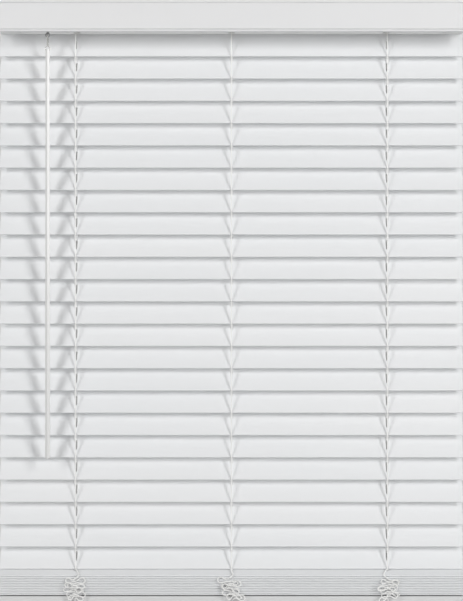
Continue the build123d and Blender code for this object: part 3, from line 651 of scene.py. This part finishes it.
class BLIND_OT_ladders(Operator):
    """Make the upright ladder cords, their tops over the drums and the rungs under the slats"""

    bl_idname = "blind.ladders"
    bl_label = "Make Ladders"

    ring_step: FloatProperty(
        name="Ring Step", description="Distance of the rings along a braided cord",
        default=0.0009, unit="LENGTH")

    BEND_SAMPLES = 30

    def rails(self, context, name, y, low, high, node, material):
        """Three straight braided cords that hang plumb and move with the slats."""
        cords = context.scene.blind_cords
        paths = [straight((x, y, high), (x, y, low), self.ring_step) for x in ladder_places(context)]
        tubes = [braided_rings(path, cords.ladder_cord, cords.braid_pitch, LADDER_SIDES) for path in paths]
        piece = make_piece(name, tubes, material)
        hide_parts(node)
        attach(piece, name)

    def top(self, context, name, side, end, material):
        """Cords from the drums to the first rung: a quarter circle over the drum, then plumb."""
        cords = context.scene.blind_cords
        y = side * LADDER_Y
        bend = np.linspace(0, pi / 2, self.BEND_SAMPLES)
        tubes = []
        for x in ladder_places(context):
            over = np.stack([x + 0 * bend, y * np.sin(bend), ROD_Z + LADDER_Y * np.cos(bend)], axis=1)
            path = np.concatenate([over, straight(over[-1], (x, y, end), self.ring_step)[1:]])
            tubes.append(braided_rings(path, cords.ladder_cord, cords.braid_pitch, LADDER_SIDES))
        piece = make_piece(name, tubes, material)
        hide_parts("ladder_rungs")
        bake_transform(piece)

    def rungs(self, context, number, material):
        """Pairs of rungs under one slat, straight from the back ladder cord to the front one."""
        cords = context.scene.blind_cords
        lean = radians(SLAT_TILTS[number - 1])
        across = np.array((0, cos(lean), sin(lean)))
        below = np.array((0, sin(lean), -cos(lean))) * cords.rung_drop
        centre = slat_centre(number)
        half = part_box("slat_36")[1].y
        if number <= HANGING:
            reach_back = LADDER_Y / cos(lean) - cords.rung_drop * tan(lean)
            reach_front = LADDER_Y / cos(lean) + cords.rung_drop * tan(lean)
        else:
            reach_back = reach_front = half + cords.rung_cord
        if number == HANGING:
            reach_front = half + cords.rung_cord
        tubes = []
        for x in ladder_places(context):
            for spread in (-cords.rung_spread, cords.rung_spread):
                middle = centre + below + (x + spread, 0, 0)
                path = np.stack([middle + across * reach for reach in (reach_back, 0.0, -reach_front)])
                tubes.append(tube_rings(path, cords.rung_cord / 2, RUNG_SIDES))
        piece = make_piece(f"rungs_{number:02d}", tubes, material)
        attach(piece, slat_name(number))

    def execute(self, context):
        material = braid("ladder braid", context.scene.blind_colours.cord)
        front_low, front_high = FRONT_LADDER_LOW.z, FRONT_LADDER_HIGH.z
        back_low, back_high = BACK_LADDER_LOW.z, BACK_LADDER_HIGH.z
        self.rails(context, "front_ladder", -LADDER_Y, front_low, front_high, "front_ladder_cords", material)
        self.rails(context, "back_ladder", LADDER_Y, back_low, back_high, "back_ladder_cords", material)
        self.top(context, "front_ladder_tops", -1, front_high, material)
        self.top(context, "back_ladder_tops", 1, back_high, material)
        for number in range(1, SLATS + 1):
            self.rungs(context, number, material)
        return {"FINISHED"}


class BLIND_OT_lift_cords(Operator):
    """Make the two lift cords, from the spool over the cradles and down to the bottom rail"""

    bl_idname = "blind.lift_cords"
    bl_label = "Make Lift Cords"

    ring_step: FloatProperty(
        name="Ring Step", description="Distance of the rings along a braided cord",
        default=0.0011, unit="LENGTH")
    aside: FloatProperty(
        name="Aside", description="Distance of a hanging cord from its ladder, away from the middle",
        default=0.0014, unit="LENGTH")
    knee_drop: FloatProperty(
        name="Knee Drop", description="Drop from the eyelet to where a cord hangs plumb",
        default=0.02, unit="LENGTH")
    split: FloatProperty(
        name="Split", description="Height where the fixed stretch ends and the paid-out stretch begins",
        default=-1.0, unit="LENGTH")
    eyelet_radius: FloatProperty(
        name="Eyelet Radius", description="Radius of a cord's turn from the headrail downwards",
        default=0.004, unit="LENGTH")
    spool_reach: FloatProperty(
        name="Spool Reach", description="Distance of a cord's start from the spool's axis",
        default=0.013, unit="LENGTH")
    lower_groove: FloatProperty(
        name="Lower Groove", description="Height of the left cord over the spool's foot",
        default=0.0032, unit="LENGTH")
    upper_groove: FloatProperty(
        name="Upper Groove", description="Height of the right cord over the spool's foot",
        default=0.0084, unit="LENGTH")

    BEND_SAMPLES = 14

    def execute(self, context):
        cords = context.scene.blind_cords
        material = braid("lift braid", context.scene.blind_colours.cord)
        spool = joint_place("spool_turn")
        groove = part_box("cord_spool")[0].z
        pitch = cords.braid_pitch * LIFT_BRAID
        radius = self.eyelet_radius
        bend = np.linspace(0, pi / 2, self.BEND_SAMPLES)[1:]
        upper, lower = [], []
        for side, rise in ((-1, self.lower_groove), (1, self.upper_groove)):
            x = side * cords.ladder_offset
            start = np.array((spool[0], side * self.spool_reach, groove + rise))
            eyelet = np.array((x, 0.0, LIFT_HIGH.z - cords.lift_cord / 2))
            inward = np.sign(spool[0] - x)
            entry = eyelet + (inward * radius, 0, 0)
            corner = np.stack([
                entry[0] - inward * radius * np.sin(bend),
                0 * bend,
                entry[2] - radius * (1 - np.cos(bend))], axis=1)
            hang = x + side * self.aside
            knee = (hang, 0, corner[-1, 2] - self.knee_drop)
            path = np.concatenate([
                straight(start, entry, self.ring_step),
                corner,
                straight(corner[-1], knee, self.ring_step)[1:],
                straight(knee, (hang, 0, self.split), self.ring_step)[1:]])
            upper.append(braided_rings(path, cords.lift_cord, pitch, LIFT_SIDES))
            down = straight((hang, 0, self.split), (hang, 0, LIFT_LOW.z), self.ring_step)
            lower.append(braided_rings(down, cords.lift_cord, pitch, LIFT_SIDES))
        fixed = make_piece("lift_cords_upper", upper, material)
        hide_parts("lift_cords")
        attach(fixed, "root")
        paid_out = make_piece("lift_cords_lower", lower, material)
        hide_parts("lift_cords")
        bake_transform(paid_out)
        return {"FINISHED"}


class BLIND_OT_slack(Operator):
    """Make the bunches of slack ladder cord in front of and behind the gathered slats"""

    bl_idname = "blind.slack"
    bl_label = "Make Slack Cord"

    join_step: FloatProperty(
        name="Join Step", description="Distance of the rings along the short join at a bunch's top",
        default=0.0004, unit="LENGTH")
    top_drop: FloatProperty(
        name="Top Drop", description="Height of the first petal under the stack's top",
        default=0.0075, unit="LENGTH")
    petal_step: FloatProperty(
        name="Petal Step", description="Drop from one petal to the next", default=0.0024, unit="LENGTH")
    tail_drop: FloatProperty(
        name="Tail Drop", description="Height over the rail's foot where the tail begins",
        default=0.009, unit="LENGTH")
    groove_gap: FloatProperty(
        name="Groove Gap", description="Room round the tail in the rail's groove",
        default=0.0003, unit="LENGTH")
    edge_gap: FloatProperty(
        name="Edge Gap", description="Room between the tail and the rail's face",
        default=0.0012, unit="LENGTH")
    plug_radius: FloatProperty(
        name="Plug Radius", description="Radius of the plug that takes the tail",
        default=0.008, unit="LENGTH")
    back_ahead: FloatProperty(
        name="Back Ahead", description="Share of a back lead's length by which its turn is held back",
        default=0.17)
    end_gap: FloatProperty(
        name="End Gap", description="Gap under an upright ladder cord", default=0.0010, unit="LENGTH")
    lead_drop: FloatProperty(
        name="Lead Drop", description="Drop of a front lead to where it comes forward",
        default=0.0042, unit="LENGTH")

    # Shares of a lead's shift at its second and third points, and sizes of the hidden joins
    LEAD_SHARES = (0.25, 0.85)
    TIP_SCALE = 0.94
    JOIN_SCALE = 0.98
    JOIN_POINTS = 4

    # Courses of the bunches, from the left ladder to the right one
    LEAD_SHIFTS = (0.008, 0.0025, -0.009)
    LOOP_SIDES = (-1, -1, 1)
    REACH_WAVE = 2.3
    HEIGHT_WAVE = 1.7
    SLOPES = (
        (6, 14, -18, -8, 16, -26, -6, 4, -30, -12, -38, -24),
        (10, -4, -22, 12, 4, -30, 18, -14, -8, -34, -28, -16),
        (-6, 12, 8, -20, -28, -4, 14, -12, -18, -34, -8, -30),
    )
    DRIFTS = (0.0, 0.0010, 0.0)
    PETAL = (
        (0.26, 0.15), (0.70, 0.58), (1.06, 0.54), (1.24, 0.0), (1.06, -0.54), (0.70, -0.58), (0.26, -0.15))

    def lead(self, context, ladder, face):
        """Points from the end of an upright ladder cord to the top of its bunch."""
        cords = context.scene.blind_cords
        x = ladder_places(context)[ladder]
        lower_end = FRONT_LADDER_LOW.z if face < 0 else BACK_LADDER_LOW.z
        near = RAIL_HIGH.y + cords.slack_standoff
        shift = -face * self.LEAD_SHIFTS[ladder]
        if face < 0:
            points = [
                (x, -LADDER_Y, lower_end + cords.ladder_cord),
                (x + self.LEAD_SHARES[0] * shift, -LADDER_Y - cords.ladder_cord / 2, lower_end - self.end_gap),
                (x + self.LEAD_SHARES[1] * shift, -(LADDER_Y + near) / 2, lower_end - self.lead_drop)]
        else:
            points = [(x, LADDER_Y, lower_end)]
            lean = radians(SLAT_TILTS[HANGING])
            reach = LADDER_Y / cos(radians(SLAT_TILTS[0]))
            centre = slat_centre(LEANING)
            points.append((x, reach * cos(lean), centre[2] + reach * sin(lean)))
        points.append((x + shift, face * near, STACK_TOP + cords.loop_step))
        return points

    def loops(self, context, ladder, face):
        """Points of a bunch, from its lead to the plug under the rail.

        Loop k is a petal that leaves the ladder's line at height top - k step, on alternate sides.
        Its reach and its height change as sines of k, and its slope is listed for each loop. Petals on one
        side lie in three layers in turn, so that they pass clear of each other.
        """
        cords = context.scene.blind_cords
        x = ladder_places(context)[ladder]
        near = RAIL_HIGH.y + cords.slack_standoff
        points = []
        for k in range(cords.slack_loops):
            side = self.LOOP_SIDES[ladder] * (-1) ** k
            reach = cords.loop_reach + cords.loop_reach_change * sin(self.REACH_WAVE * k + ladder)
            height = cords.loop_height + cords.loop_height_change * sin(self.HEIGHT_WAVE * k + 2 * ladder)
            slope = radians(self.SLOPES[ladder][k])
            root = x + self.DRIFTS[ladder] * (k - cords.slack_loops / 2)
            middle = STACK_TOP - self.top_drop - k * self.petal_step
            layer = near + cords.loop_layer / 2 * (k // 2 % 3)
            for out, up in self.PETAL[1:] if face > 0 and k == 0 else self.PETAL:
                beside = out * reach * cos(slope) - up * height * sin(slope)
                above = out * reach * sin(slope) + up * height * cos(slope)
                points.append((root + side * beside, face * layer, middle + above))
        under = RAIL_LOW.z + cords.ladder_cord / 2 + self.groove_gap
        tail = RAIL_HIGH.y + cords.ladder_cord / 2 + self.edge_gap
        points += [(x, face * tail, under + self.tail_drop), (x, face * tail, under)]
        points.append((x, face * (self.plug_radius + cords.ladder_cord / 2), under))
        return points

    def execute(self, context):
        cords = context.scene.blind_cords
        material = braid("slack braid", context.scene.blind_colours.cord)
        for face, side in ((-1, "front"), (1, "back")):
            for ladder, place in enumerate(("left", "middle", "right")):
                lead = self.lead(context, ladder, face)
                route = lead + self.loops(context, ladder, face)
                whole = spline_path(route)
                cut = int(np.argmin(np.linalg.norm(whole - np.array(lead[-1]), axis=1)))
                loose = whole[cut:]
                rings = braided_rings(whole, cords.ladder_cord, cords.braid_pitch, LADDER_SIDES)
                inside = rings[cut + 2:cut + 4]
                middle = inside.mean(axis=1, keepdims=True)
                inside = middle + self.TIP_SCALE * (inside - middle)
                upper = np.concatenate([rings[:cut], inside])
                top = make_piece(f"slack_lead_{side}_{place}", [upper], material)
                bunch = make_piece(f"slack_bunch_{side}_{place}", [rings[cut:]], material)
                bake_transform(top)
                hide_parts("ladder_slack")
                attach(bunch, "bottom_rail")
                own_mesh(bunch)
                join = straight(loose[0], loose[self.JOIN_POINTS], self.join_step)
                stretch = make_piece(
                    f"slack_drop_{side}_{place}",
                    [braided_rings(join, cords.ladder_cord * self.JOIN_SCALE, cords.braid_pitch, LADDER_SIDES)],
                    material)
                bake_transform(stretch)
        return {"FINISHED"}


class BLIND_OT_stage(Operator):
    """Set the floor, the wall, the even sky, the four strip lamps and the camera"""

    bl_idname = "blind.stage"
    bl_label = "Set Stage"

    # Floor: inner and outer radius, rings and sides; its glow near and far, and from where to where
    FLOOR_RADII = (0.02, 6.0)
    FLOOR_RINGS = 24
    FLOOR_SIDES = 96
    FLOOR_GLOW = (0.25, 1.0)
    FLOOR_FADE = (1.0, 4.0)

    # Wall: share of its colour left by the painted shade behind the blind, and the shares of the blind's half
    # size where the painted shade ends
    PAINTED_SHADE_SHARE = 0.2
    PAINTED_SHADE_EDGE = (0.86, 0.98)

    def lamp(self, name, turn, power, stage, target):
        """A tall strip lamp aimed at the target from a turn."""
        light = bpy.data.lights.new(name, "AREA")
        light.energy = power
        light.shape = "RECTANGLE"
        light.size = stage.lamp_width
        light.size_y = stage.lamp_height
        lamp = bpy.data.objects.new(name, light)
        rise = stage.lamp_rise
        back = Vector((sin(turn) * cos(rise), -cos(turn) * cos(rise), sin(rise)))
        lamp.location = target + back * stage.lamp_distance
        lamp.rotation_euler = (-back).to_track_quat("-Z", "Y").to_euler()
        bpy.context.scene.collection.objects.link(lamp)

    def floor(self, height, colour):
        """A pale disc under the blind, as a flat grid of rings, that fades to white far away."""
        radius = np.linspace(*self.FLOOR_RADII, self.FLOOR_RINGS)[:, None]
        angle = np.linspace(0, 2 * pi, self.FLOOR_SIDES, endpoint=False)[None]
        flat = np.broadcast_arrays(radius * np.cos(angle), radius * np.sin(angle), height)
        rings = np.stack(flat, -1)
        quads, caps = ring_faces(self.FLOOR_RINGS, self.FLOOR_SIDES, False)
        mesh = bpy.data.meshes.new("floor")
        mesh.from_pydata(rings.reshape(-1, 3).tolist(), [], [face[::-1] for face in quads] + [caps[0][::-1]])
        finish = Finish("pale floor", colour, 0.85)
        finish.tint(finish.spread(finish.noise((3, 3, 3)), 0, 1), 0.98)
        away = finish.add("ShaderNodeVectorMath", operation="LENGTH")
        finish.links.new(finish.coordinates((1, 1, 0)), away.inputs[0])
        glow = finish.add("ShaderNodeMath", operation="MULTIPLY")
        brightness = finish.spread(away.outputs["Value"], *self.FLOOR_GLOW, *self.FLOOR_FADE)
        finish.links.new(brightness, glow.inputs[0])
        finish.links.new(background_rays(finish.nodes, finish.links), glow.inputs[1])
        finish.links.new(glow.outputs[0], finish.shader.inputs["Emission Strength"])
        finish.shader.inputs["Emission Color"].default_value = (1, 1, 1, 1)
        mesh.materials.append(finish.material)
        floor = bpy.data.objects.new("floor", mesh)
        bpy.context.scene.collection.objects.link(floor)

    def wall(self, stage, bottom, colour):
        """A pale wall behind the blind, seen from the room only.

        The camera sees its front side; every other ray, and the camera from behind, passes through.
        Its colour is darkened behind the blind and comes back near the blind's edges: painted shade, so the
        slots show dark.
        """
        across = np.array((-stage.wall_half, stage.wall_half, stage.wall_half, -stage.wall_half))
        up = np.array((bottom, bottom, stage.wall_height, stage.wall_height))
        corners = np.stack([across, np.full(4, stage.wall_gap), up], -1)
        mesh = bpy.data.meshes.new("wall")
        mesh.from_pydata(corners.tolist(), [], [(0, 1, 2, 3)])
        finish = Finish("pale wall", colour, 0.9)
        place = finish.add("ShaderNodeSeparateXYZ")
        finish.links.new(finish.coordinates((1, 1, 1)), place.inputs[0])
        middle = (CAD_LOW + CAD_HIGH) / 2
        half = (CAD_HIGH - CAD_LOW) / 2
        reach = []
        for axis, at, size in (("X", middle.x, half.x), ("Z", middle.z, half.z)):
            apart = finish.add("ShaderNodeMath", operation="SUBTRACT")
            apart.inputs[1].default_value = at
            finish.links.new(place.outputs[axis], apart.inputs[0])
            away = finish.add("ShaderNodeMath", operation="ABSOLUTE")
            finish.links.new(apart.outputs[0], away.inputs[0])
            share = finish.add("ShaderNodeMath", operation="DIVIDE")
            share.inputs[1].default_value = size
            finish.links.new(away.outputs[0], share.inputs[0])
            reach.append(share.outputs[0])
        beyond = finish.add("ShaderNodeMath", operation="MAXIMUM")
        for socket, value in zip(beyond.inputs, reach):
            finish.links.new(value, socket)
        # Painted shade: the wall's colour falls to a fifth in a box behind the blind and comes back near its
        # edges.
        finish.tint(finish.spread(beyond.outputs[0], 0, 1, *self.PAINTED_SHADE_EDGE), self.PAINTED_SHADE_SHARE)
        side = finish.add("ShaderNodeNewGeometry")
        rays = finish.add("ShaderNodeLightPath")
        seen = finish.add("ShaderNodeMath", operation="SUBTRACT", use_clamp=True)
        finish.links.new(rays.outputs["Is Camera Ray"], seen.inputs[0])
        finish.links.new(side.outputs["Backfacing"], seen.inputs[1])
        clear = finish.add("ShaderNodeBsdfTransparent")
        mix = finish.add("ShaderNodeMixShader")
        finish.links.new(seen.outputs[0], mix.inputs[0])
        finish.links.new(clear.outputs[0], mix.inputs[1])
        finish.links.new(finish.shader.outputs[0], mix.inputs[2])
        finish.links.new(mix.outputs[0], finish.nodes["Material Output"].inputs["Surface"])
        mesh.materials.append(finish.material)
        wall = bpy.data.objects.new("wall", mesh)
        bpy.context.scene.collection.objects.link(wall)

    def sky(self, scene, strength):
        """An even grey light; the camera, mirrors and glass see it as white."""
        world = bpy.data.worlds.new("studio")
        scene.world = world
        world.use_nodes = True
        nodes, links = world.node_tree.nodes, world.node_tree.links
        light = nodes["Background"]
        light.inputs["Color"].default_value = (1.0, 1.0, 1.0, 1)
        light.inputs["Strength"].default_value = strength
        white = nodes.new("ShaderNodeBackground")
        white.inputs["Color"].default_value = (1.0, 1.0, 1.0, 1)
        mix = nodes.new("ShaderNodeMixShader")
        links.new(background_rays(nodes, links), mix.inputs[0])
        links.new(light.outputs[0], mix.inputs[1])
        links.new(white.outputs[0], mix.inputs[2])
        links.new(mix.outputs[0], nodes["World Output"].inputs["Surface"])

    def execute(self, context):
        scene = context.scene
        stage = scene.blind_stage
        scene.view_settings.view_transform = "Standard"
        lowered = JOINTS["lift"]["range_m"][1]
        ground = RAIL_LOW.z - lowered - stage.floor_gap
        self.floor(ground, scene.blind_colours.floor)
        self.wall(stage, ground, scene.blind_colours.wall)
        self.sky(scene, stage.sky)
        target = Vector((0, 0, stage.camera_height))
        self.lamp("left lamp", -stage.lamp_turn, stage.left_power, stage, target)
        self.lamp("right lamp", stage.lamp_turn, stage.right_power, stage, target)
        self.lamp("left back lamp", -stage.back_turn, stage.back_power, stage, target)
        self.lamp("right back lamp", stage.back_turn, stage.back_power, stage, target)
        camera = bpy.data.objects.new("camera", bpy.data.cameras.new("camera"))
        camera.data.lens = stage.lens
        camera.location = (0, -stage.camera_distance, stage.camera_height)
        camera.rotation_euler = (pi / 2, 0, 0)
        scene.collection.objects.link(camera)
        scene.camera = camera
        return {"FINISHED"}


STEPS = (
    BLIND_OT_slats, BLIND_OT_valance, BLIND_OT_headrail, BLIND_OT_wand, BLIND_OT_ladders,
    BLIND_OT_lift_cords, BLIND_OT_slack, BLIND_OT_stage,
)


class BLIND_PT_panel(Panel):
    """Sidebar list of the steps and the values they use"""

    bl_idname = "BLIND_PT_panel"
    bl_label = "Venetian Blind"
    bl_space_type = "VIEW_3D"
    bl_region_type = "UI"
    bl_category = "Blind"

    def draw(self, context):
        for step in STEPS:
            self.layout.operator(step.bl_idname)
        for group in (context.scene.blind_cords, context.scene.blind_colours, context.scene.blind_stage):
            box = self.layout.box()
            for name in group.__annotations__:
                box.prop(group, name)


CLASSES = (BlindCordSizes, BlindColours, BlindStage, *STEPS, BLIND_PT_panel)


def register():
    """Register the classes and hang the property groups on the scene."""
    for item in CLASSES:
        bpy.utils.register_class(item)
    bpy.types.Scene.blind_cords = PointerProperty(type=BlindCordSizes)
    bpy.types.Scene.blind_colours = PointerProperty(type=BlindColours)
    bpy.types.Scene.blind_stage = PointerProperty(type=BlindStage)


def unregister():
    """Take the property groups and the classes away again."""
    del bpy.types.Scene.blind_stage
    del bpy.types.Scene.blind_colours
    del bpy.types.Scene.blind_cords
    for item in reversed(CLASSES):
        bpy.utils.unregister_class(item)


def main():
    """Dress the blind step by step."""
    register()
    bpy.ops.blind.slats()
    bpy.ops.blind.valance()
    bpy.ops.blind.headrail()
    bpy.ops.blind.wand()
    bpy.ops.blind.ladders()
    bpy.ops.blind.lift_cords()
    bpy.ops.blind.slack()
    bpy.ops.blind.stage()


if __name__ == "__main__":
    main()
